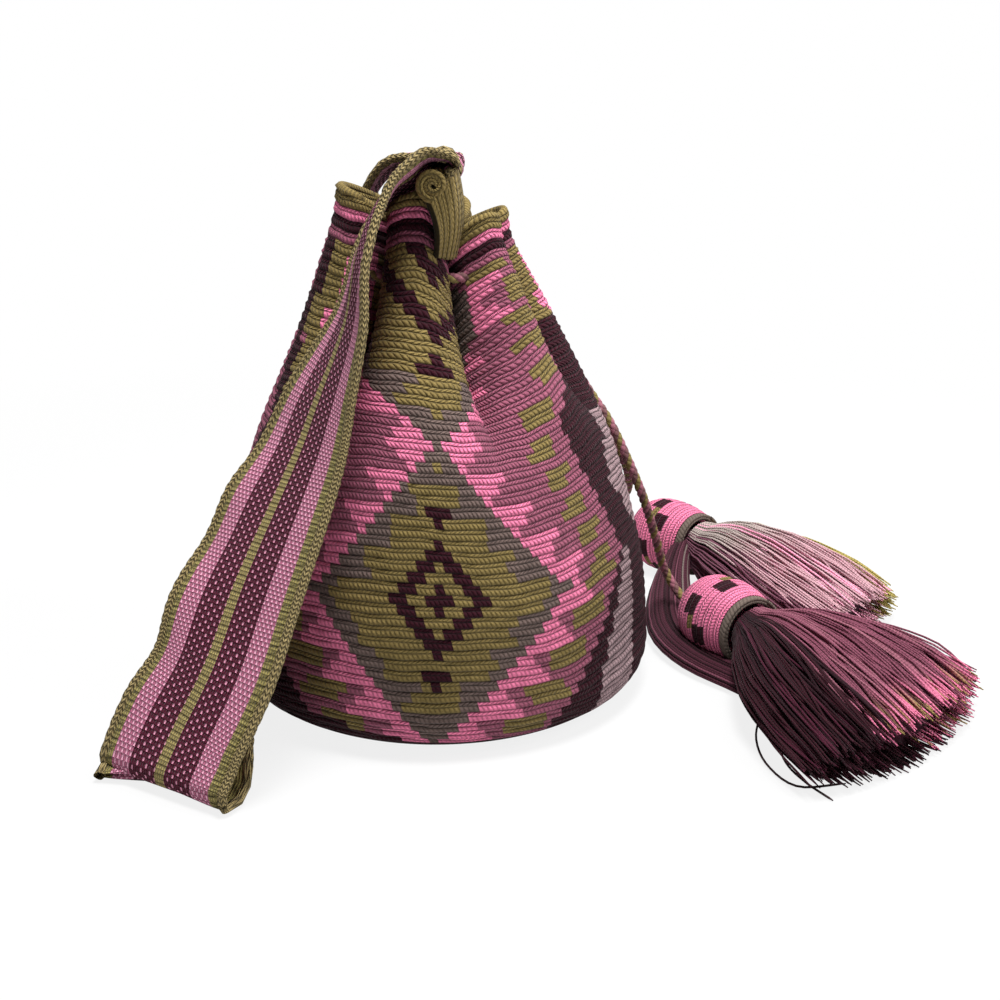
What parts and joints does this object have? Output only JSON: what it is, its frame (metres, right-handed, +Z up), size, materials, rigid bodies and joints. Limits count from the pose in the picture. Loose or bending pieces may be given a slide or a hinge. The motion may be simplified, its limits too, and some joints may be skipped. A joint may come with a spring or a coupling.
{
  "type": "mochila bag",
  "caption": "Crocheted bucket bag with stepped diamond patterns, a gathered drawstring mouth, tassels and a woven shoulder strap.",
  "frame": {"origin": "centre of the round base, on the floor it stands on", "axes": "+Z up, -Y towards the front, with the strap draped to -X and the tassels lying to +X"},
  "size_m": [0.4365, 0.3615, 0.2948],
  "materials": {
    "bag_crochet": "crocheted cotton yarn in olive, pink, mauve and burgundy",
    "strap_weave": "woven cotton in burgundy, pink and olive stripes",
    "strap_edging": "crocheted cotton edging",
    "strap_seam": "crocheted cotton roll",
    "cord": "twisted cotton cord",
    "tassel_cap": "crocheted cotton with dark blocks",
    "tassel_binding": "wound cotton yarn",
    "tassel_yarn": "loose cotton strands"
  },
  "bodies": {
    "root": {"drawstring": "cord", "bag_body": "bag_crochet", "strap_band": "strap_weave", "strap_edging_right": "strap_edging", "strap_edging_left": "strap_edging", "strap_seam_front": "strap_seam", "strap_seam_back": "strap_seam", "front_tassel_cap": "tassel_cap", "front_tassel_binding": "tassel_binding", "front_tassel_yarn": "tassel_yarn", "back_tassel_cap": "tassel_cap", "back_tassel_binding": "tassel_binding", "back_tassel_yarn": "tassel_yarn"}
  },
  "joints": []
}
